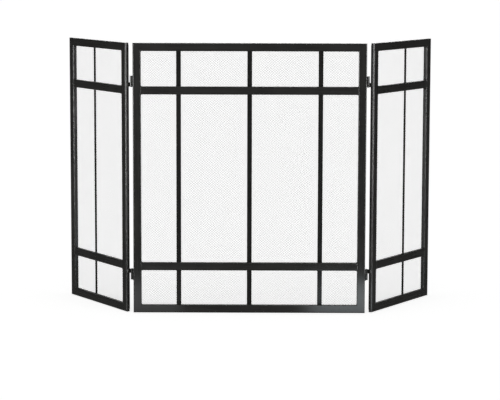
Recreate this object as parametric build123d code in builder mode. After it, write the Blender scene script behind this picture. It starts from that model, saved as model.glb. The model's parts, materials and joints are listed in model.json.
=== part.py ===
"""A folding fireplace screen in three steel panels: a wide centre panel and two wings hinged to its
sides.  Each panel is a mitred frame of rounded rectangular tube with two crossbars.  Woven wire mesh
lies behind the tubes, held by flat strips and upright bars that are screwed on from the rear.

Millimetres, +Z up.  The origin is on the floor under the middle of the centre panel, half-way through
its tubes.  The front faces -Y, and the wings are folded back towards +Y.
"""

from build123d import *
from collections import namedtuple
import math
import os

# ---- driving dimensions ----
panel_height = 800.1       # 31 1/2 in
open_width = 1371.6        # 54 in with all three panels in one line
centre_width = 685.8       # 27 in
hinge_gap = 10.0           # between neighbouring panels in one line
fold_back = 55.0           # degrees each wing is folded back from that line

tube_width = 24.0
tube_depth = 12.0
tube_corner = 2.5
tube_wall = 1.2
crossbar_inset = 127.0     # from the frame's top or bottom edge to the near side of a crossbar

mesh_thickness = 0.7       # two wires deep, where they cross
mesh_inset = 8.0

strip_width = 12.0
strip_depth = 3.0
strip_inset = 6.0
bar_edge = 0.4             # softened edges of the flat bar stock

centre_muntin_width = 14.0
centre_muntin_spacing = 208.8
wing_muntin_width = 8.0
wing_muntin_offset = 131.0  # from the wing's outer edge to the middle of its muntin

screw_shank = 1.4          # radii
screw_head = 3.2
screw_length = 8.0
screw_drive_span = 3.4
screw_drive_slot = 0.8
screw_drive_depth = 1.2
head_angle = 82.0
screw_clearance = 0.1
end_screw = 60.0           # from a corner to the nearest screw along a strip
stile_screws = 4
centre_rail_screws = 3
wing_rail_screws = 2

hinge_setback = 11.0       # hinge axis behind the middle of the tubes
barrel_radius = 4.0
pin_radius = 2.5
pin_clearance = 0.06       # radial, in the centre panel's knuckles
leaf_thickness = 2.5
leaf_front = 2.0           # how far a leaf reaches in front of the middle of the tubes
centre_knuckle_height = 19.0
wing_knuckle_height = 12.5
knuckle_gap = 0.5
hinge_inset = 97.0         # from the frame's top or bottom edge to the hinge's outer end
pin_head_radius = 3.4
pin_head_height = 1.4
pin_head_round = 0.8
pin_end_chamfer = 0.6

# ---- values that follow ----
wing_width = (open_width - centre_width) / 2 - hinge_gap
rear_face = -tube_depth / 2                       # along a panel's own front normal
strip_front = rear_face - mesh_thickness
strip_rear = strip_front - strip_depth
screw_line = strip_inset + strip_width / 2
muntin_end = strip_inset + strip_width
crossbar_middle = crossbar_inset + tube_width / 2
hinge_x = centre_width / 2 + hinge_gap / 2
head_depth = (screw_head - screw_shank) / math.tan(math.radians(head_angle / 2))

Section = namedtuple("Section", "width depth corner wall middle")
tube = Section(tube_width, tube_depth, tube_corner, tube_wall, 0.0)
strip = Section(strip_width, strip_depth, bar_edge, 0.0, strip_front - strip_depth / 2)

# plane: u to the right as seen from the front, v up, normal to the front, at the lower left corner
Panel = namedtuple("Panel", "name plane width left right muntins muntin_width rail_screws")


def wing_plane(side):
    """The plane of the left (side -1) or right (side +1) wing, folded back about its hinge axis."""
    angle = math.radians(fold_back)
    across = Vector(math.cos(angle), side * math.sin(angle), 0)
    front = across.cross(Vector(0, 0, 1))
    axis = Vector(side * hinge_x, hinge_setback, 0)
    reach = hinge_gap / 2 if side > 0 else -hinge_gap / 2 - wing_width
    return Plane(origin=axis + across * reach + front * hinge_setback, x_dir=across, z_dir=front)


centre = Panel(
    name="centre",
    plane=Plane(origin=(-centre_width / 2, 0, 0), x_dir=(1, 0, 0), z_dir=(0, -1, 0)),
    width=centre_width,
    left="left_stile",
    right="right_stile",
    muntins={
        "left_muntin": centre_width / 2 - centre_muntin_spacing,
        "middle_muntin": centre_width / 2,
        "right_muntin": centre_width / 2 + centre_muntin_spacing,
    },
    muntin_width=centre_muntin_width,
    rail_screws=centre_rail_screws,
)
left_wing = Panel(
    name="left_wing",
    plane=wing_plane(-1),
    width=wing_width,
    left="outer_stile",
    right="inner_stile",
    muntins={"muntin": wing_muntin_offset},
    muntin_width=wing_muntin_width,
    rail_screws=wing_rail_screws,
)
right_wing = Panel(
    name="right_wing",
    plane=wing_plane(1),
    width=wing_width,
    left="inner_stile",
    right="outer_stile",
    muntins={"muntin": wing_width - wing_muntin_offset},
    muntin_width=wing_muntin_width,
    rail_screws=wing_rail_screws,
)
os.makedirs("parts", exist_ok=True)


def save(part, label):
    part.label = label
    export_step(part, f"parts/{label}.step")


def at(panel, u, v, w=0.0):
    """A point given in a panel's own directions, in the row frame."""
    return panel.plane.from_local_coords(Vector(u, v, w))


def along(panel, u, v):
    """A direction in a panel's plane, in the row frame."""
    return panel.plane.x_dir * u + panel.plane.y_dir * v


def spread(length, count):
    """Distances of count screws along a strip, evenly between the two end ones."""
    step = (length - 2 * end_screw) / (count - 1)
    return [end_screw + step * n for n in range(count)]


def rear_plane(panel, u, v, w):
    """A plane that looks out of the panel's rear, for drilling from behind."""
    return Plane(origin=at(panel, u, v, w), x_dir=panel.plane.x_dir, z_dir=-panel.plane.z_dir)


def draw_section(section):
    RectangleRounded(section.width, section.depth, section.corner)
    if section.wall:
        RectangleRounded(
            section.width - 2 * section.wall,
            section.depth - 2 * section.wall,
            section.corner - section.wall,
            mode=Mode.SUBTRACT,
        )


def frame_sides(panel, inset=0.0):
    """The four sides of a panel, anticlockwise from the bottom: name, start, direction, length, screws."""
    low = inset
    right = panel.width - inset
    top = panel_height - inset
    across = panel.width - 2 * inset
    up = panel_height - 2 * inset
    return [
        ("bottom_rail", (low, low), (1, 0), across, spread(panel.width, panel.rail_screws)),
        (panel.right, (right, low), (0, 1), up, spread(panel_height, stile_screws)),
        ("top_rail", (right, top), (-1, 0), across, spread(panel.width, panel.rail_screws)),
        (panel.left, (low, top), (0, -1), up, spread(panel_height, stile_screws)),
    ]


def crossings(panel):
    """Where an upright bar is screwed to a crossbar."""
    return [
        (u, v)
        for u in panel.muntins.values()
        for v in (crossbar_middle, panel_height - crossbar_middle)
    ]


def side_screws(panel, start, direction, screws, inset=0.0):
    """The (u, v) places of the screws along one side, on the line of the strips."""
    step = Vector(*direction)
    inward = Vector(-direction[1], direction[0])
    base = Vector(*start) + inward * (screw_line - inset)
    return [tuple(base + step * (distance - inset))[:2] for distance in screws]


def screw_places(panel):
    places = []
    for _, start, direction, _, screws in frame_sides(panel):
        places += side_screws(panel, start, direction, screws)
    return places + crossings(panel)


def make_side(panel, label, section, inset, side):
    """One mitred side of a frame, as tube or as flat strip, with its screw holes."""
    _, start, direction, length, screws = side
    run = along(panel, *direction)
    inward = along(panel, -direction[1], direction[0])
    depth = panel.plane.z_dir * section.middle
    corner_a = at(panel, *start)
    corner_b = corner_a + run * length
    middle = corner_a + inward * (section.width / 2) + depth
    with BuildPart() as piece:
        with BuildSketch(Plane(origin=middle, x_dir=inward, z_dir=run)):
            draw_section(section)
        extrude(amount=length)
        split(bisect_by=Plane(origin=corner_a, z_dir=run - inward), keep=Keep.TOP)
        split(bisect_by=Plane(origin=corner_b, z_dir=-run - inward), keep=Keep.TOP)
        for u, v in side_screws(panel, start, direction, screws, inset):
            if section.wall:
                with Locations(rear_plane(panel, u, v, rear_face)):
                    Hole(screw_shank + screw_clearance, depth=2 * section.wall)
            else:
                with Locations(rear_plane(panel, u, v, strip_rear)):
                    CounterSinkHole(
                        screw_shank + screw_clearance,
                        screw_head + screw_clearance,
                        depth=section.depth,
                        counter_sink_angle=head_angle,
                    )
    save(piece.part, label)


def make_crossbar(panel, label, middle):
    with BuildPart() as crossbar:
        with BuildSketch(
            Plane(
                origin=at(panel, tube_width, middle),
                x_dir=panel.plane.y_dir,
                z_dir=panel.plane.x_dir,
            )
        ):
            draw_section(tube)
        extrude(amount=panel.width - 2 * tube_width)
        for u, v in crossings(panel):
            if v == middle:
                with Locations(rear_plane(panel, u, v, rear_face)):
                    Hole(screw_shank + screw_clearance, depth=2 * tube_wall)
    save(crossbar.part, label)


def make_muntin(panel, label, u):
    """A flat upright bar behind the mesh, from strip to strip."""
    with BuildPart() as muntin:
        with BuildSketch(
            Plane(
                origin=at(panel, u, muntin_end, strip.middle),
                x_dir=panel.plane.x_dir,
                z_dir=panel.plane.y_dir,
            )
        ):
            RectangleRounded(panel.muntin_width, strip_depth, bar_edge)
        extrude(amount=panel_height - 2 * muntin_end)
        for place, v in crossings(panel):
            if place == u:
                with Locations(rear_plane(panel, u, v, strip_rear)):
                    CounterSinkHole(
                        screw_shank + screw_clearance,
                        screw_head + screw_clearance,
                        depth=strip_depth,
                        counter_sink_angle=head_angle,
                    )
    save(muntin.part, label)


def make_mesh(panel):
    """The whole woven mesh as one thin sheet, clamped between the tubes and the strips."""
    with BuildPart() as mesh:
        with BuildSketch(rear_plane(panel, panel.width / 2, panel_height / 2, rear_face)):
            Rectangle(panel.width - 2 * mesh_inset, panel_height - 2 * mesh_inset)
        extrude(amount=mesh_thickness)
        for u, v in screw_places(panel):
            with Locations(rear_plane(panel, u, v, strip_front)):
                Hole(screw_shank + screw_clearance, depth=mesh_thickness)
    save(mesh.part, f"{panel.name}_mesh")


def make_screws(panel):
    """All countersunk cross-head screws of one panel, as separate solids in one group."""
    screws = []
    for u, v in screw_places(panel):
        face = rear_plane(panel, u, v, strip_rear)
        with BuildPart() as screw:
            with BuildSketch(Plane(origin=face.origin, x_dir=face.x_dir, z_dir=face.y_dir)):
                with BuildLine():
                    Polyline(
                        (0, 0),
                        (screw_head, 0),
                        (screw_shank, head_depth),
                        (screw_shank, screw_length - screw_shank),
                        (0, screw_length),
                        close=True,
                    )
                make_face()
            revolve(axis=Axis(face.origin, face.z_dir))
            with BuildSketch(face):
                Rectangle(screw_drive_span, screw_drive_slot)
                Rectangle(screw_drive_slot, screw_drive_span)
            extrude(amount=-screw_drive_depth, mode=Mode.SUBTRACT)
        screws.append(screw.part)
    save(Compound(children=screws), f"{panel.name}_screws")


def make_knuckle(label, plane, side, height, bore):
    """A hinge barrel with the leaf that is welded to a stile.

    The plane's origin is on the hinge axis at the knuckle's lower end, y to the front and x to the left
    as seen from there.  side is the sign of x on which the stile stands.
    """
    leaf_length = hinge_setback + leaf_front
    with BuildPart() as knuckle:
        with BuildSketch(plane):
            Circle(barrel_radius)
            with Locations((side * (hinge_gap - leaf_thickness) / 2, leaf_length / 2)):
                Rectangle(leaf_thickness, leaf_length)
            Circle(bore, mode=Mode.SUBTRACT)
        extrude(amount=height)
    save(knuckle.part, label)


def make_pin(label, plane, length):
    """A headed hinge pin: the plane's origin is under the head, and its normal runs along the pin."""
    with BuildPart() as pin:
        with BuildSketch(plane):
            Circle(pin_radius)
        extrude(amount=length)
        chamfer(pin.faces().sort_by(Axis(plane.origin, plane.z_dir))[-1].edges(), pin_end_chamfer)
        with BuildSketch(plane):
            Circle(pin_head_radius)
        extrude(amount=-pin_head_height)
        fillet(pin.faces().sort_by(Axis(plane.origin, plane.z_dir))[0].edges(), pin_head_round)
    save(pin.part, label)


def make_hinge(wing, side, where):
    """One hinge: the pin is fixed in the wing's knuckle and turns in the centre panel's.

    The wing's knuckle is always the one nearer to mid height, so the wing can't be lifted off.
    """
    up = where == "lower"
    outer_end = hinge_inset if up else panel_height - hinge_inset
    away = 1 if up else -1
    centre_low = min(outer_end, outer_end + away * centre_knuckle_height)
    wing_near = outer_end + away * (centre_knuckle_height + knuckle_gap)
    wing_far = wing_near + away * wing_knuckle_height
    axis = Vector(side * hinge_x, hinge_setback, 0)

    def level(height, front, flip=False):
        normal = Vector(0, 0, -1) if flip else Vector(0, 0, 1)
        return Plane(origin=axis + Vector(0, 0, height), x_dir=front.cross(normal), z_dir=normal)

    front = centre.plane.z_dir
    wing_front = wing.plane.z_dir
    stile = centre.left if side < 0 else centre.right
    make_knuckle(
        f"centre_{stile.replace('_stile', '')}_{where}_knuckle",
        level(centre_low, front),
        side,
        centre_knuckle_height,
        pin_radius + pin_clearance,
    )
    make_knuckle(
        f"{wing.name}_{where}_knuckle",
        level(min(wing_near, wing_far), wing_front),
        -side,
        wing_knuckle_height,
        pin_radius,
    )
    make_pin(
        f"{wing.name}_{where}_hinge_pin",
        level(wing_far, wing_front, flip=up),
        centre_knuckle_height + knuckle_gap + wing_knuckle_height,
    )


def make_panel(panel):
    for side in frame_sides(panel):
        make_side(panel, f"{panel.name}_{side[0]}", tube, 0.0, side)
    for side in frame_sides(panel, strip_inset):
        label = side[0].replace("_stile", "").replace("_rail", "")
        make_side(panel, f"{panel.name}_{label}_strip", strip, strip_inset, side)
    make_crossbar(panel, f"{panel.name}_lower_crossbar", crossbar_middle)
    make_crossbar(panel, f"{panel.name}_upper_crossbar", panel_height - crossbar_middle)
    for label, u in panel.muntins.items():
        make_muntin(panel, f"{panel.name}_{label}", u)
    make_mesh(panel)
    make_screws(panel)


for panel in (centre, left_wing, right_wing):
    make_panel(panel)
for wing, side in ((left_wing, -1), (right_wing, 1)):
    for where in ("upper", "lower"):
        make_hinge(wing, side, where)
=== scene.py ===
import json
import math

import bpy
import numpy as np
from bpy.props import FloatProperty, FloatVectorProperty, PointerProperty
from mathutils import Matrix, Vector

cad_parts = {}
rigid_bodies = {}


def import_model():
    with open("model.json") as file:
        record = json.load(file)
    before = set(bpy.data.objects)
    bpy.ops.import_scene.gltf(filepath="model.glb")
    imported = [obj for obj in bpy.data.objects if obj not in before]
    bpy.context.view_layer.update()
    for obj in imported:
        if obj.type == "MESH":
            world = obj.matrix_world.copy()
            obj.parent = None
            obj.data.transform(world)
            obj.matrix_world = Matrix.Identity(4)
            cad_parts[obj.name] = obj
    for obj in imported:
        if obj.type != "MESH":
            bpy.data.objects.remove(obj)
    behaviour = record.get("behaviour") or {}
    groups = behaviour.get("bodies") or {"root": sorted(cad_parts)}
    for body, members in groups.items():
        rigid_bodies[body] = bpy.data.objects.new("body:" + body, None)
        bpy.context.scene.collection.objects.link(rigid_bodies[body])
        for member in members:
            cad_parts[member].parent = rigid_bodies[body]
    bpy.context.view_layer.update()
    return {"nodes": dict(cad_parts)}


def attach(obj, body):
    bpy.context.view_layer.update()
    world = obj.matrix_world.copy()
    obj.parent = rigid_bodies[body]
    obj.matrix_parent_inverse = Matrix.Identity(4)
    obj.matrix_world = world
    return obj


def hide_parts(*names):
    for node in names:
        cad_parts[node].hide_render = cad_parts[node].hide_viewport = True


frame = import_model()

bl_info = {
    "name": "Folding fireplace screen",
    "version": (1, 0, 0),
    "blender": (4, 5, 0),
    "location": "3D View > Sidebar > Fireplace Screen",
    "description": "Finishes, woven wire and welds of a three-panel folding fireplace screen",
    "category": "Object",
}

PANELS = {"centre": "centre_panel", "left_wing": "left_wing", "right_wing": "right_wing"}
SIDES = ("left", "right")
UP = Vector((0, 0, 1))
MM = 0.001

# Colours, and the depth of the texture in zinc plate.
DUST_COLOUR = (0.2, 0.185, 0.165, 1)
PIN_ZINC = (0.05, 0.05, 0.052)
SCREW_ZINC = (0.035, 0.035, 0.037)
ZINC_DEPTH = 0.01 * MM
NEUTRAL = (1, 1, 1)

# Wire: how far a wire swings past its own radius at a crossing, so that two wires stay clear.
WEAVE_LIFT = 1.05

# Welds: steps round a weld's face, its root below the tubes, and how its ends fall away.
FACE_STEPS = 6
ROOT_DEPTH = 0.3 * MM
HOLLOW = 0.45
LEAST_RINGS = 8
END_SIZE = 0.3
TOE_SINK = 0.1 * MM
END_SINK = 0.25
WELD_INSET = 1 * MM
LEAF_END = 0.8 * MM

# Ground joints: how far they lie below the crossbar's face, the tube's corner, and where they start.
FLUSH = 0.03 * MM
TUBE_CORNER = 2.5 * MM
JOINT_START = 10

# The studio: the room the screen reflects, the floor, the camera (in metres and degrees), the lights.
ROOM_DIM = (0.08, 0.08, 0.08, 1)
ROOM_FRONT = (0.22, 0.22, 0.22, 1)
ROOM_LOW = (0.6, 0.6, 0.6, 1)
WHITE = (1, 1, 1, 1)
FLOOR_HALF = 30
FLOOR_DROP = 0.5 * MM
CAMERA_PLACE = (0.02, -5.3985, 1.1057)
CAMERA_YAW, CAMERA_DIP, CAMERA_ROLL = 0.197, 6.859, 0.149
CAMERA_SHIFT = -0.08
SENSOR_WIDTH = 36
SUN_WIDTH, SUN_TIP = 70, 12
SCREEN_MIDDLE = (0, 0, 0.4)
BOXES = (
    # name, place, aim, width and height, its setting, its share of that, tint
    ("left_box", (-2.4, -2.25, 0.55), SCREEN_MIDDLE, (0.7, 1.4), "side_light", 1, NEUTRAL),
    ("right_box", (2.4, -2.25, 0.55), SCREEN_MIDDLE, (0.7, 1.4), "side_light", 0.7, NEUTRAL),
    ("low_right_box", (0.36, -0.17, 0.012), (0.33, 0, 0.03), (0.36, 0.10), "low_light", 1,
     (0.86, 0.95, 1.0)),
    ("low_left_box", (-0.36, -0.17, 0.012), (-0.33, 0, 0.03), (0.30, 0.10), "low_light", 0.25,
     (0.95, 0.98, 1.0)),
    ("back_box", (0, 3.2, 2.4), SCREEN_MIDDLE, (2.6, 1.4), "back_light", 1, NEUTRAL),
)


# ---------------------------------------------------------------- shader nodes


class Link:
    """A shader socket in Python expressions: values use Math nodes, and vectors Vector Math."""

    def __init__(self, sheet, socket):
        self.sheet = sheet
        self.socket = socket
        self.is_vector = socket.type in {"VECTOR", "RGBA"}

    def combine(self, operation, first, second):
        vector = any(
            side.is_vector if isinstance(side, Link) else isinstance(side, tuple)
            for side in (first, second)
        )
        kind = "VectorMath" if vector else "Math"
        sides = [as_triple(side) if vector else side for side in (first, second)]
        return self.sheet.node(kind, {"operation": operation}, dict(enumerate(sides)))

    def __add__(self, other):
        return self.combine("ADD", self, other)

    def __radd__(self, other):
        return self.combine("ADD", other, self)

    def __sub__(self, other):
        return self.combine("SUBTRACT", self, other)

    def __rsub__(self, other):
        return self.combine("SUBTRACT", other, self)

    def __mul__(self, other):
        return self.combine("MULTIPLY", self, other)

    def __rmul__(self, other):
        return self.combine("MULTIPLY", other, self)

    def along(self, direction):
        """How far a vector reaches along a direction."""
        sides = {0: self, 1: tuple(direction)}
        return self.sheet.node("VectorMath", {"operation": "DOT_PRODUCT"}, sides, "Value")

    def between(self, low, high):
        """Rises smoothly from 0 to 1 as a value goes from low to high."""
        ends = {"Value": self, "From Min": low, "From Max": high}
        return self.sheet.node("MapRange", {"interpolation_type": "SMOOTHSTEP"}, ends)


def as_triple(side):
    """A number repeated for the three parts of a vector; anything else as it is."""
    return (side, side, side) if isinstance(side, (int, float)) else side


def pick(sockets, key):
    """The socket at a place in the list, or the one in use that has a name."""
    if isinstance(key, int):
        return sockets[key]
    return next(socket for socket in sockets if socket.enabled and socket.name == key)


class Sheet:
    """The nodes of one material or world."""

    def __init__(self, owner):
        owner.use_nodes = True
        self.owner = owner
        self.tree = owner.node_tree
        self.tree.nodes.clear()

    def node(self, kind, settings, sockets, output=0):
        """Adds a node, sets it, then gives its sockets their values or links; returns one output."""
        made = self.tree.nodes.new("ShaderNode" + kind)
        made.location = (220 * (len(self.tree.nodes) % 8), -220 * (len(self.tree.nodes) // 8))
        for name, value in settings.items():
            setattr(made, name, value)
        for key, value in sockets.items():
            socket = pick(made.inputs, key)
            if isinstance(value, Link):
                self.tree.links.new(value.socket, socket)
            else:
                socket.default_value = value
        return Link(self, pick(made.outputs, output)) if made.outputs else None

    def place(self):
        """Where a point lies on the piece, in metres, with the screen at rest."""
        return self.node("TexCoord", {}, {}, "Object")

    def facing(self):
        """Which way the surface faces."""
        return self.node("NewGeometry", {}, {}, "Normal")

    def noise(self, place, size, detail=2.0, roughness=0.5):
        """Cloudy noise around 0.5 whose lumps are about one size across."""
        sockets = {"Vector": place, "Scale": 1 / size, "Detail": detail, "Roughness": roughness}
        return self.node("TexNoise", {}, sockets)

    def blend(self, share, first, second):
        """From the first colour to the second as the share goes from 0 to 1."""
        sockets = {"Factor": share, "A": first, "B": second}
        return self.node("Mix", {"data_type": "RGBA"}, sockets, "Result")

    def bump(self, height, depth):
        """A surface normal that follows a height of 0 to 1, worth a depth in metres."""
        return self.node("Bump", {}, {"Height": height, "Distance": depth, "Strength": 1.0})

    def settled(self, place, size, most):
        """How thickly dust lies on upward faces, in patches about one size across."""
        upward = self.facing().along(UP).between(0.55, 0.95)
        return upward * self.noise(place, size, 4, 0.65).between(0.35, 0.75) * most

    def finish(self, sockets):
        """Ends the material in one Principled surface and returns the material."""
        shader = self.node("BsdfPrincipled", {}, sockets)
        self.node("OutputMaterial", {}, {"Surface": shader})
        return self.owner


def colour(values):
    """A colour property with its alpha."""
    return (*values, 1.0)


def stretched(place, grain, times):
    """The place with one direction drawn out, so that patterns run long that way."""
    shift = place.along(grain) * (1 - 1 / times)
    return place - shift * tuple(grain)


# ------------------------------------------------------------------- materials


def powder_coat(name, grain, coat):
    """Satin powder coat over drawn tube: orange peel, soft cloudy gloss, a little settled dust."""
    sheet = Sheet(bpy.data.materials.new(name))
    place = sheet.place()
    clouds = sheet.noise(place, 110 * MM, 3)
    drawn = sheet.noise(stretched(place, grain, 30), 4 * MM, 2)
    peel = sheet.noise(place, coat.peel_size, 1.5, 0.4)
    dust = sheet.settled(place, 6 * MM, coat.dust)
    dark = tuple(part * 0.72 for part in coat.colour)
    shade = sheet.blend(clouds.between(0.3, 0.7), colour(dark), colour(coat.colour))
    tint = sheet.blend(drawn.between(0.35, 0.7) * 0.25, shade, colour(coat.undertone))
    dusted = sheet.blend(dust, tint, DUST_COLOUR)
    gloss = coat.roughness + (clouds - 0.5) * 0.16 + (drawn - 0.5) * 0.08 + dust * 0.3
    height = peel * 0.8 + drawn * 0.2
    return sheet.finish({
        "Base Color": dusted,
        "Roughness": gloss,
        "Specular IOR Level": coat.shine,
        "Normal": sheet.bump(height, coat.peel_depth),
    })


def rolled_bar(name, grain, coat):
    """Powder coat over flat bar, whose rolling lines show through along its length."""
    sheet = Sheet(bpy.data.materials.new(name))
    place = sheet.place()
    lines = sheet.noise(stretched(place, grain, 60), 1.6 * MM, 3, 0.6)
    bands = sheet.noise(stretched(place, grain, 8), 30 * MM, 2)
    peel = sheet.noise(place, coat.peel_size * 0.8, 1.5, 0.4)
    dust = sheet.settled(place, 4 * MM, coat.dust)
    dark = tuple(part * 0.5 for part in coat.colour)
    shade = sheet.blend(bands.between(0.3, 0.7), colour(dark), colour(coat.colour))
    lined = sheet.blend(lines.between(0.45, 0.8) * 0.2, shade, colour(coat.undertone))
    dusted = sheet.blend(dust, lined, DUST_COLOUR)
    gloss = coat.roughness + 0.06 + (bands - 0.5) * 0.14 + (lines - 0.5) * 0.16
    return sheet.finish({
        "Base Color": dusted,
        "Roughness": gloss,
        "Specular IOR Level": coat.shine * 0.35,
        "Normal": sheet.bump(peel * 0.5 + lines * 0.5, coat.peel_depth),
    })


def weld_coat(name, coat):
    """The same coat where it lies thick over weld metal, with fine scale under it."""
    sheet = Sheet(bpy.data.materials.new(name))
    place = sheet.place()
    scale = sheet.noise(place, 0.9 * MM, 4, 0.7)
    pool = sheet.noise(place, 3 * MM, 2)
    shade = sheet.blend(pool.between(0.3, 0.75), colour(coat.colour), colour(coat.undertone))
    return sheet.finish({
        "Base Color": shade,
        "Roughness": coat.roughness + 0.06 + (scale - 0.5) * 0.25,
        "Specular IOR Level": coat.shine,
        "Normal": sheet.bump(scale, coat.peel_depth * 3),
    })


def blackened_wire(name, wire):
    """Drawn steel wire, painted black, thin enough in places for the steel to warm it."""
    sheet = Sheet(bpy.data.materials.new(name))
    place = sheet.place()
    patches = sheet.noise(place, 50 * MM, 3)
    beads = sheet.noise(place, 2.5 * MM, 2)
    thin = tuple(part * 2.4 for part in wire.colour)
    shade = sheet.blend(patches.between(0.35, 0.7) * beads, colour(wire.colour), colour(thin))
    return sheet.finish({
        "Base Color": shade,
        "Roughness": 0.34 + beads * 0.22,
        "Specular IOR Level": 0.4,
    })


def hinge_steel(name, coat):
    """Coated hinge leaves and barrels: thinner paint, rubbed glossier in streaks, finely gritty."""
    sheet = Sheet(bpy.data.materials.new(name))
    place = sheet.place()
    rubs = sheet.noise(stretched(place, UP, 0.2), 4 * MM, 3, 0.6)
    grit = sheet.noise(place, 1.2 * MM, 4, 0.7)
    shade = sheet.blend(rubs.between(0.4, 0.75), colour(coat.colour), colour(coat.undertone))
    return sheet.finish({
        "Base Color": shade,
        "Roughness": coat.roughness - 0.02 + (rubs - 0.5) * 0.3,
        "Specular IOR Level": coat.shine,
        "Normal": sheet.bump(grit, coat.peel_depth * 1.5),
    })


def black_zinc(name, metal, spacing):
    """Black zinc plate on a pin or screw: dark metal with fine turned rings, in one spacing."""
    sheet = Sheet(bpy.data.materials.new(name))
    place = sheet.place()
    turned = sheet.noise(stretched(place, UP, 0.05), spacing, 3, 0.6)
    plate = sheet.noise(place, 1.1 * MM, 3, 0.6)
    bright = tuple(part * 3.2 for part in metal)
    shade = sheet.blend(turned.between(0.5, 0.85), colour(metal), colour(bright))
    return sheet.finish({
        "Base Color": shade,
        "Metallic": 0.85,
        "Roughness": 0.3 + plate * 0.26,
        "Normal": sheet.bump(turned * 0.5 + plate * 0.5, ZINC_DEPTH),
    })


def paint(names, material):
    """Gives the CAD pieces with these names a material."""
    for name in names:
        frame["nodes"][name].material_slots[0].material = material


# -------------------------------------------------------------- panel measures


def points_of(node):
    """The corners of a CAD piece as rows of x, y, z."""
    mesh = frame["nodes"][node].data
    found = np.empty(len(mesh.vertices) * 3)
    mesh.vertices.foreach_get("co", found)
    return found.reshape(-1, 3)


class PanelFace:
    """One panel's own directions: across to the right seen from the front, up, and out of the front."""

    def __init__(self, panel):
        self.panel = panel
        self.body = PANELS[panel]
        level = points_of(f"{panel}_lower_crossbar")[:, :2]
        spread = np.cov((level - level.mean(axis=0)).T)
        turn = 0.5 * math.atan2(2 * spread[0, 1], spread[0, 0] - spread[1, 1])
        across = Vector((math.cos(turn), math.sin(turn), 0))
        self.across = across if across.x > 0 else -across
        self.front = self.across.cross(UP)

    def span(self, node, direction):
        """The lowest and highest reach of a CAD piece along a direction."""
        reach = points_of(node) @ np.array(direction)
        return float(reach.min()), float(reach.max())

    def stiles(self):
        """The uprights' names, from left to right seen from the front."""
        if self.panel == "centre":
            return ["centre_left_stile", "centre_right_stile"]
        pair = [f"{self.panel}_outer_stile", f"{self.panel}_inner_stile"]
        return sorted(pair, key=lambda node: self.span(node, self.across)[0])

    def levels(self):
        """The rails' and crossbars' names, from the bottom up."""
        kinds = ("bottom_rail", "lower_crossbar", "upper_crossbar", "top_rail")
        return [f"{self.panel}_{kind}" for kind in kinds]

    def at(self, across, up, out):
        """The point at these distances along the panel's three directions."""
        return self.across * across + UP * up + self.front * out

    def openings(self):
        """The windows of the frame, each as left, right, bottom and top."""
        left, right = self.stiles()
        sides = (self.span(left, self.across)[1], self.span(right, self.across)[0])
        spans = [self.span(node, UP) for node in self.levels()]
        return [(*sides, low[1], high[0]) for low, high in zip(spans, spans[1:])]


# ------------------------------------------------------------------ mesh pieces


def add_piece(name, verts, faces, material, body):
    """Makes a smooth mesh object that rides on a CAD body."""
    mesh = bpy.data.meshes.new(name)
    mesh.from_pydata(verts, [], faces)
    mesh.shade_smooth()
    mesh.materials.append(material)
    mesh.validate()
    piece = bpy.data.objects.new(name, mesh)
    bpy.context.scene.collection.objects.link(piece)
    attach(piece, body)
    return piece


class Skin:
    """Corners and faces of rings joined into closed tubes."""

    def __init__(self):
        self.verts = []
        self.faces = []

    def add_tube(self, rings):
        """Adds one closed tube from its rings, which all have the same number of corners."""
        start = len(self.verts)
        sides = len(rings[0])
        self.verts.extend(tuple(point) for ring in rings for point in ring)
        for low in range(start, start + sides * (len(rings) - 1), sides):
            for side in range(sides):
                after = (side + 1) % sides
                self.faces.append((low + side, low + after, low + sides + after, low + sides + side))
        self.faces.append(tuple(range(start + sides - 1, start - 1, -1)))
        last = start + sides * (len(rings) - 1)
        self.faces.append(tuple(range(last, last + sides)))


def wire_steps(climb, number, half_wide, half_high):
    """Half-cell counts across, and the same up, where one wire crosses the others, with its two cut ends.

    A wire that climbs to the right has up = across + 2 * number, and one that falls has
    up = 2 * number - across."""
    if climb > 0:
        first = max(-half_wide, -half_high - 2 * number)
        last = min(half_wide, half_high - 2 * number)
    else:
        first = max(-half_wide, 2 * number - half_high)
        last = min(half_wide, 2 * number + half_high)
    if last - first < 0.5:
        return None
    inside = np.arange(math.ceil(first + 0.05), math.floor(last - 0.05) + 1)
    across = np.concatenate(([first], inside, [last]))
    return across, climb * across + 2 * number


def weave(face, climb, wire):
    """All the wires of one panel's sheet that run one way, over and under the others."""
    sheet = f"{face.panel}_mesh"
    left, right = face.span(sheet, face.across)
    low, high = face.span(sheet, UP)
    back, front = face.span(sheet, face.front)
    half_across = wire.cell_width / 2
    half_up = wire.cell_height / 2
    half_wide = (right - left) / 2 / half_across
    half_high = (high - low) / 2 / half_up
    radius = wire.diameter / 2
    middle = np.array(face.at((left + right) / 2, (low + high) / 2, (back + front) / 2))
    across, up, out = np.array(face.across), np.array(UP), np.array(face.front)
    run = across * half_across + up * half_up * climb
    side = np.cross(out, run / np.linalg.norm(run))
    section = [side * radius, out * radius, -side * radius, -out * radius]
    skin = Skin()
    count = math.ceil((half_wide + half_high) / 2)
    for number in range(-count, count + 1):
        steps = wire_steps(climb, number, half_wide, half_high)
        if steps is None:
            continue
        lift = np.cos(np.pi * steps[0]) * climb * radius * WEAVE_LIFT
        centres = (
            middle
            + np.outer(steps[0] * half_across, across)
            + np.outer(steps[1] * half_up, up)
            + np.outer(lift, out)
        )
        skin.add_tube([[centre + corner for corner in section] for centre in centres])
    return skin


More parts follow.
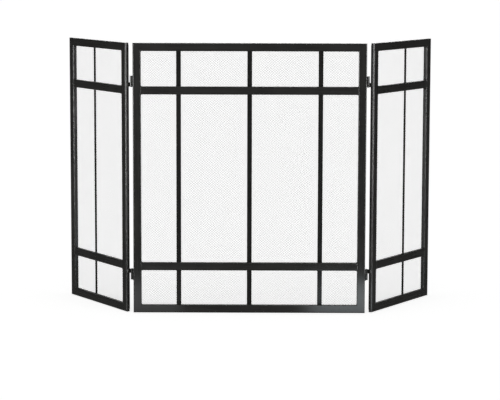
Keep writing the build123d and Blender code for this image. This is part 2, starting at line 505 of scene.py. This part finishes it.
def bead_outline(leg, sink):
    """The outline of one weld: its toes on both tubes, the hollow face between, its root in the metal."""
    root = -sink - ROOT_DEPTH
    outline = [(root, root), (leg - sink, root)]
    for part in range(FACE_STEPS + 1):
        share = part / FACE_STEPS
        angle = math.radians(270 - 90 * share)
        hollow = (leg + leg * math.cos(angle), leg + leg * math.sin(angle))
        straight = (leg * (1 - share), leg * share)
        mixed = (HOLLOW * a + (1 - HOLLOW) * b for a, b in zip(hollow, straight))
        outline.append(tuple(reach - sink for reach in mixed))
    outline.append((root, leg - sink))
    return outline


def bead(start, run, first, second, leg, weld):
    """The rings of one weld that starts at a point and runs along a corner between two faces.

    The two faces leave the corner along first and second. Ripples cross the weld, and its ends
    fall away."""
    rings = []
    count = max(LEAST_RINGS, round(run.length / weld.step))
    for number in range(count + 1):
        share = number / count
        taper = max(0.0, 1 - abs(2 * share - 1) ** 5) ** 0.5
        ripple = 1 + weld.ripple * math.sin(math.tau * share * run.length / weld.ripple_length)
        outline = bead_outline(
            leg * (END_SIZE + (1 - END_SIZE) * taper) * ripple,
            TOE_SINK + leg * END_SINK * (1 - taper),
        )
        turned = outline if first.cross(second).dot(run) > 0 else outline[::-1]
        rings.append([start + run * share + first * x + second * y for x, y in turned])
    return rings


def ground_joint(face, side, wide, level, out):
    """The rings of one ground weld in the groove where a crossbar meets a stile's rounded edge.

    It is flush with the crossbar's face, and follows it round the crossbar's own edges."""
    low, high = face.span(level, UP)
    back, front = face.span(level, face.front)
    middle = (front + back) / 2
    flat = (front - back) / 2 - TUBE_CORNER
    step = (90 - JOINT_START) / FACE_STEPS
    turns = [math.radians(JOINT_START + step * part) for part in range(FACE_STEPS + 1)]
    rows = [(low + TUBE_CORNER * (1 - math.cos(turn)), turn) for turn in turns]
    rows += [(high - TUBE_CORNER * (1 - math.cos(turn)), turn) for turn in reversed(turns)]
    rings = []
    for height, turn in rows:
        ring = [(FLUSH, flat + TUBE_CORNER * math.sin(turn) - FLUSH)]
        for part in range(FACE_STEPS + 1):
            lean = turn * (1 - part / FACE_STEPS)
            ring.append((
                TUBE_CORNER * (math.cos(lean) - 1),
                flat + TUBE_CORNER * math.sin(lean) - FLUSH,
            ))
        turned = ring if wide * out < 0 else ring[::-1]
        rings.append([face.at(side + wide * x, height, middle + out * y) for x, y in turned])
    return rings


def panel_welds(face, weld):
    """The welds in one panel's inside corners, and the ground ones at its crossbars' ends."""
    skin = Skin()
    back, front = face.span(face.levels()[0], face.front)
    run = face.front * (front - back - 2 * WELD_INSET)
    for left, right, bottom, top in face.openings():
        for side, wide in ((left, 1), (right, -1)):
            for level, tall in ((bottom, 1), (top, -1)):
                start = face.at(side, level, back + WELD_INSET)
                skin.add_tube(bead(start, run, face.across * wide, UP * tall, weld.leg, weld))
    left, right = face.openings()[0][:2]
    for level in face.levels()[1:3]:
        for side, wide in ((left, 1), (right, -1)):
            for out in (1, -1):
                skin.add_tube(ground_joint(face, side, wide, level, out))
    return skin


def leaf_welds(face, weld):
    """The small welds along the front edges of the hinge leaves on one panel."""
    skin = Skin()
    left, right = (face.span(node, face.across) for node in face.stiles())
    for side in SIDES:
        hinge = f"centre_{side}" if face.panel == "centre" else face.panel
        if face.panel not in ("centre", f"{side}_wing"):
            continue
        outward = -1 if hinge in ("centre_left", "right_wing") else 1
        edge = left[0] if outward < 0 else right[1]
        for where in ("lower", "upper"):
            knuckle = f"{hinge}_{where}_knuckle"
            low, high = face.span(knuckle, UP)
            leaf_front = face.span(knuckle, face.front)[1]
            start = face.at(edge, low + LEAF_END, leaf_front)
            run = UP * (high - low - 2 * LEAF_END)
            skin.add_tube(bead(start, run, face.front, face.across * outward, weld.leaf_leg, weld))
    return skin


# ------------------------------------------------------------------- properties


class CoatSettings(bpy.types.PropertyGroup):
    """The black powder coat."""

    colour: FloatVectorProperty(
        name="Coat colour", description="Colour of the powder coat", subtype="COLOR",
        min=0, max=1, default=(0.0048, 0.0047, 0.0043))
    undertone: FloatVectorProperty(
        name="Undertone", description="Colour where the coat is thin over drawn lines",
        subtype="COLOR", min=0, max=1, default=(0.012, 0.0115, 0.0103))
    roughness: FloatProperty(
        name="Roughness", description="How satin the coat is", subtype="FACTOR",
        min=0.05, max=1, default=0.28)
    shine: FloatProperty(
        name="Shine", description="Strength of the coat's reflection", subtype="FACTOR",
        min=0, max=1, default=0.5)
    dust: FloatProperty(
        name="Dust", description="Dust settled on upward faces", subtype="FACTOR",
        min=0, max=1, default=0.06)
    peel_size: FloatProperty(
        name="Peel size", description="Width of the orange-peel ripples", subtype="DISTANCE",
        unit="LENGTH", precision=5, min=0.2 * MM, default=1.6 * MM)
    peel_depth: FloatProperty(
        name="Peel depth", description="Depth of the orange-peel ripples", subtype="DISTANCE",
        unit="LENGTH", precision=6, min=0, default=0.03 * MM)


class WireSettings(bpy.types.PropertyGroup):
    """The woven wire."""

    diameter: FloatProperty(
        name="Wire diameter", description="Diameter of the wire", subtype="DISTANCE",
        unit="LENGTH", precision=5, min=0.1 * MM, max=0.34 * MM, default=0.33 * MM)
    cell_width: FloatProperty(
        name="Cell width", description="Width of a diamond between four wires",
        subtype="DISTANCE", unit="LENGTH", precision=5, min=4 * MM, default=8.2 * MM)
    cell_height: FloatProperty(
        name="Cell height", description="Height of a diamond between four wires",
        subtype="DISTANCE", unit="LENGTH", precision=5, min=4 * MM, default=7.35 * MM)
    colour: FloatVectorProperty(
        name="Wire colour", description="Colour of the painted wire", subtype="COLOR",
        min=0, max=1, default=(0.012, 0.012, 0.0115))


class WeldSettings(bpy.types.PropertyGroup):
    """The weld beads."""

    leg: FloatProperty(
        name="Bead leg", description="How far a bead runs up each tube", subtype="DISTANCE",
        unit="LENGTH", precision=4, min=1 * MM, default=3 * MM)
    ripple: FloatProperty(
        name="Ripple", description="Height of the ripples as a share of the bead",
        subtype="FACTOR", min=0, max=0.3, default=0.07)
    ripple_length: FloatProperty(
        name="Ripple length", description="Distance from one ripple to the next",
        subtype="DISTANCE", unit="LENGTH", precision=5, min=0.3 * MM, default=1.1 * MM)
    step: FloatProperty(
        name="Step", description="Distance between the rings of a bead's mesh",
        subtype="DISTANCE", unit="LENGTH", precision=5, min=0.1 * MM, default=0.24 * MM)
    leaf_leg: FloatProperty(
        name="Leaf bead leg", description="Leg of the small beads on the hinge leaves",
        subtype="DISTANCE", unit="LENGTH", precision=4, min=0.5 * MM, default=1.5 * MM)


class StageSettings(bpy.types.PropertyGroup):
    """The studio."""

    floor_colour: FloatVectorProperty(
        name="Floor colour", description="Colour of the studio floor", subtype="COLOR",
        min=0, max=1, default=(0.86, 0.86, 0.86))
    floor_glow: FloatProperty(
        name="Floor glow", description="Light the floor gives off, which keeps it pale far away",
        min=0, default=0.76)
    side_light: FloatProperty(
        name="Side boxes", description="Power of the left side box, in watts, which the right one follows",
        min=0, default=125)
    low_light: FloatProperty(
        name="Low boxes", description="Power of the right box near the floor, which the left one follows",
        min=0, default=0.35)
    back_light: FloatProperty(
        name="Back box", description="Power of the box high behind the screen, in watts",
        min=0, default=90)
    sky_light: FloatProperty(
        name="Overhead light", description="Strength of the soft overhead light", min=0, default=0.5)
    lens: FloatProperty(
        name="Lens", description="Focal length in millimetres", min=20, default=133.08)


GROUPS = {
    "screen_coat": CoatSettings,
    "screen_wire": WireSettings,
    "screen_weld": WeldSettings,
    "screen_stage": StageSettings,
}


# -------------------------------------------------------------------- operators


class SCREEN_OT_coat_frame(bpy.types.Operator):
    """Powder coats the tube frames of the three panels"""

    bl_idname = "screen.coat_frame"
    bl_label = "Coat the frames"

    def execute(self, context):
        coat = context.scene.screen_coat
        upright = powder_coat("powder_coat_upright", UP, coat)
        for panel in PANELS:
            face = PanelFace(panel)
            paint(face.stiles(), upright)
            paint(face.levels(), powder_coat(f"powder_coat_{panel}_level", face.across, coat))
        return {"FINISHED"}


class SCREEN_OT_coat_bars(bpy.types.Operator):
    """Coats the flat bars that divide the windows and the strips that hold the wire"""

    bl_idname = "screen.coat_bars"
    bl_label = "Coat the bars and strips"

    def execute(self, context):
        coat = context.scene.screen_coat
        upright = rolled_bar("rolled_bar_upright", UP, coat)
        for panel in PANELS:
            bars = [name for name in frame["nodes"] if name.startswith(panel)]
            muntins = [name for name in bars if name.endswith("muntin")]
            strips = [name for name in bars if name.endswith("strip")]
            level = [name for name in strips if "top_" in name or "bottom_" in name]
            paint(muntins, upright)
            paint([name for name in strips if name not in level], upright)
            paint(level, rolled_bar(f"rolled_bar_{panel}_level", PanelFace(panel).across, coat))
        return {"FINISHED"}


class SCREEN_OT_weave_wire(bpy.types.Operator):
    """Weaves the wire of the three panels, each wire over and under the ones it crosses"""

    bl_idname = "screen.weave_wire"
    bl_label = "Weave the wire"

    def execute(self, context):
        wire = context.scene.screen_wire
        material = blackened_wire("blackened_wire", wire)
        for panel in PANELS:
            face = PanelFace(panel)
            for word, climb in (("rising", 1), ("falling", -1)):
                skin = weave(face, climb, wire)
                name = f"{panel}_wires_{word}"
                piece = add_piece(name, skin.verts, skin.faces, material, face.body)
                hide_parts(f"{panel}_mesh")
        return {"FINISHED"}


class SCREEN_OT_lay_welds(bpy.types.Operator):
    """Lays the weld beads in the frames' inside corners, at the crossbars' ends and on the hinge leaves"""

    bl_idname = "screen.lay_welds"
    bl_label = "Lay the welds"

    def execute(self, context):
        material = weld_coat("weld_coat", context.scene.screen_coat)
        weld = context.scene.screen_weld
        for panel in PANELS:
            face = PanelFace(panel)
            skin = panel_welds(face, weld)
            add_piece(f"{panel}_welds", skin.verts, skin.faces, material, face.body)
            skin = leaf_welds(face, weld)
            name = f"{panel}_leaf_welds"
            add_piece(name, skin.verts, skin.faces, material, face.body)
        return {"FINISHED"}


class SCREEN_OT_finish_hinges(bpy.types.Operator):
    """Finishes the hinge leaves, their barrels and the pins"""

    bl_idname = "screen.finish_hinges"
    bl_label = "Finish the hinges"

    def execute(self, context):
        knuckles = [name for name in frame["nodes"] if name.endswith("knuckle")]
        pins = [name for name in frame["nodes"] if name.endswith("hinge_pin")]
        paint(knuckles, hinge_steel("hinge_steel", context.scene.screen_coat))
        paint(pins, black_zinc("pin_zinc", PIN_ZINC, 1.6 * MM))
        return {"FINISHED"}


class SCREEN_OT_finish_screws(bpy.types.Operator):
    """Finishes the screws that hold the strips"""

    bl_idname = "screen.finish_screws"
    bl_label = "Finish the screws"

    def execute(self, context):
        screws = [name for name in frame["nodes"] if name.endswith("screws")]
        paint(screws, black_zinc("screw_zinc", SCREW_ZINC, 1.2 * MM))
        return {"FINISHED"}


def floor_material(stage):
    """A pale studio floor with a faint paper tooth."""
    sheet = Sheet(bpy.data.materials.new("studio_paper"))
    tooth = sheet.noise(sheet.place(), 20 * MM, 3)
    worn = tuple(part * 0.97 for part in stage.floor_colour)
    shade = sheet.blend(tooth, colour(worn), colour(stage.floor_colour))
    return sheet.finish({
        "Base Color": shade,
        "Roughness": 0.85,
        "Specular IOR Level": 0.2,
        "Emission Color": WHITE,
        "Emission Strength": stage.floor_glow,
    })


def add_floor(stage):
    """The studio floor."""
    corners = ((-1, -1), (1, -1), (1, 1), (-1, 1))
    verts = [(x * FLOOR_HALF, y * FLOOR_HALF, -FLOOR_DROP) for x, y in corners]
    mesh = bpy.data.meshes.new("studio_floor")
    mesh.from_pydata(verts, [], [(0, 1, 2, 3)])
    mesh.materials.append(floor_material(stage))
    floor = bpy.data.objects.new("studio_floor", mesh)
    bpy.context.scene.collection.objects.link(floor)
    floor.visible_glossy = False


def add_box(name, place, aim, size, power, tint):
    """A soft box light at a place, turned to face an aim."""
    light = bpy.data.lights.new(name, "AREA")
    light.shape = "RECTANGLE"
    light.size, light.size_y = size
    light.energy = power
    light.color = tint
    box = bpy.data.objects.new(name, light)
    bpy.context.scene.collection.objects.link(box)
    box.location = place
    turn = (Vector(aim) - Vector(place)).to_track_quat("-Z", "Y")
    box.rotation_euler = turn.to_euler()
    box.visible_camera = False
    shade_floor_from(box)


def shade_floor_from(box):
    """Keeps a box light off the floor, as a flag on a stand would."""
    flag = bpy.data.collections.get("flagged") or bpy.data.collections.new("flagged")
    if not flag.objects:
        flag.objects.link(bpy.data.objects["studio_floor"])
        flag.collection_objects[0].light_linking.link_state = "EXCLUDE"
    box.light_linking.receiver_collection = flag


def add_overhead(stage):
    """One wide overhead light, the same everywhere on the floor."""
    light = bpy.data.lights.new("overhead", "SUN")
    light.energy = stage.sky_light
    light.angle = math.radians(SUN_WIDTH)
    sun = bpy.data.objects.new("overhead", light)
    bpy.context.scene.collection.objects.link(sun)
    sun.rotation_euler = (math.radians(SUN_TIP), 0, 0)


def add_world():
    """A white background, and a dimmer room for the screen to reflect and be lit by."""
    world = bpy.data.worlds.new("studio")
    bpy.context.scene.world = world
    sheet = Sheet(world)
    towards = sheet.node("TexCoord", {}, {}, "Generated")
    front = towards.along((0, -1, 0)).between(-0.35, 0.35)
    behind = towards.along((0, 1, 0)).between(0.4, 0.8)
    below = towards.along(-UP).between(0.0, 0.25)
    room = sheet.blend(front, ROOM_DIM, ROOM_FRONT)
    room = sheet.blend(behind * below, room, ROOM_LOW)
    seen = sheet.node("LightPath", {}, {}, "Is Camera Ray")
    light = sheet.blend(seen, room, WHITE)
    shader = sheet.node("Background", {}, {"Color": light, "Strength": 1.0})
    sheet.node("OutputWorld", {}, {"Surface": shader})


def add_camera(stage):
    """The camera, a little above the screen's top and tipped slightly down."""
    data = bpy.data.cameras.new("camera")
    data.lens = stage.lens
    data.sensor_width = SENSOR_WIDTH
    data.shift_y = CAMERA_SHIFT
    camera = bpy.data.objects.new("camera", data)
    bpy.context.scene.collection.objects.link(camera)
    turn = Matrix.Rotation(math.radians(CAMERA_YAW), 4, "Z")
    tip = Matrix.Rotation(math.radians(90 - CAMERA_DIP), 4, "X")
    roll = Matrix.Rotation(math.radians(CAMERA_ROLL), 4, "Z")
    camera.matrix_world = Matrix.Translation(CAMERA_PLACE) @ turn @ tip @ roll
    bpy.context.scene.camera = camera


class SCREEN_OT_stage(bpy.types.Operator):
    """Sets out the floor, the soft lights and the camera"""

    bl_idname = "screen.stage"
    bl_label = "Set the stage"

    def execute(self, context):
        stage = context.scene.screen_stage
        add_floor(stage)
        add_world()
        for name, place, aim, size, setting, share, tint in BOXES:
            add_box(name, place, aim, size, getattr(stage, setting) * share, tint)
        add_overhead(stage)
        add_camera(stage)
        context.scene.view_settings.view_transform = "Standard"
        return {"FINISHED"}


# ------------------------------------------------------------------------ panel


class SCREEN_PT_sidebar(bpy.types.Panel):
    """Lists the screen's pieces and their settings"""

    bl_idname = "SCREEN_PT_sidebar"
    bl_label = "Fireplace Screen"
    bl_space_type = "VIEW_3D"
    bl_region_type = "UI"
    bl_category = "Fireplace Screen"

    def draw(self, context):
        for step in STEPS:
            self.layout.operator(step.bl_idname)
        for name, group in GROUPS.items():
            box = self.layout.box()
            box.label(text=group.__doc__)
            settings = getattr(context.scene, name)
            for prop in group.__annotations__:
                box.prop(settings, prop)


STEPS = (
    SCREEN_OT_stage,
    SCREEN_OT_coat_frame,
    SCREEN_OT_coat_bars,
    SCREEN_OT_weave_wire,
    SCREEN_OT_lay_welds,
    SCREEN_OT_finish_hinges,
    SCREEN_OT_finish_screws,
)


def register():
    for group in (*GROUPS.values(), *STEPS, SCREEN_PT_sidebar):
        bpy.utils.register_class(group)
    for name, group in GROUPS.items():
        setattr(bpy.types.Scene, name, PointerProperty(type=group))


def unregister():
    for name in GROUPS:
        delattr(bpy.types.Scene, name)
    for group in reversed((*GROUPS.values(), *STEPS, SCREEN_PT_sidebar)):
        bpy.utils.unregister_class(group)


def main():
    register()
    for step in STEPS:
        group, name = step.bl_idname.split(".")
        getattr(getattr(bpy.ops, group), name)()


if __name__ == "__main__":
    main()
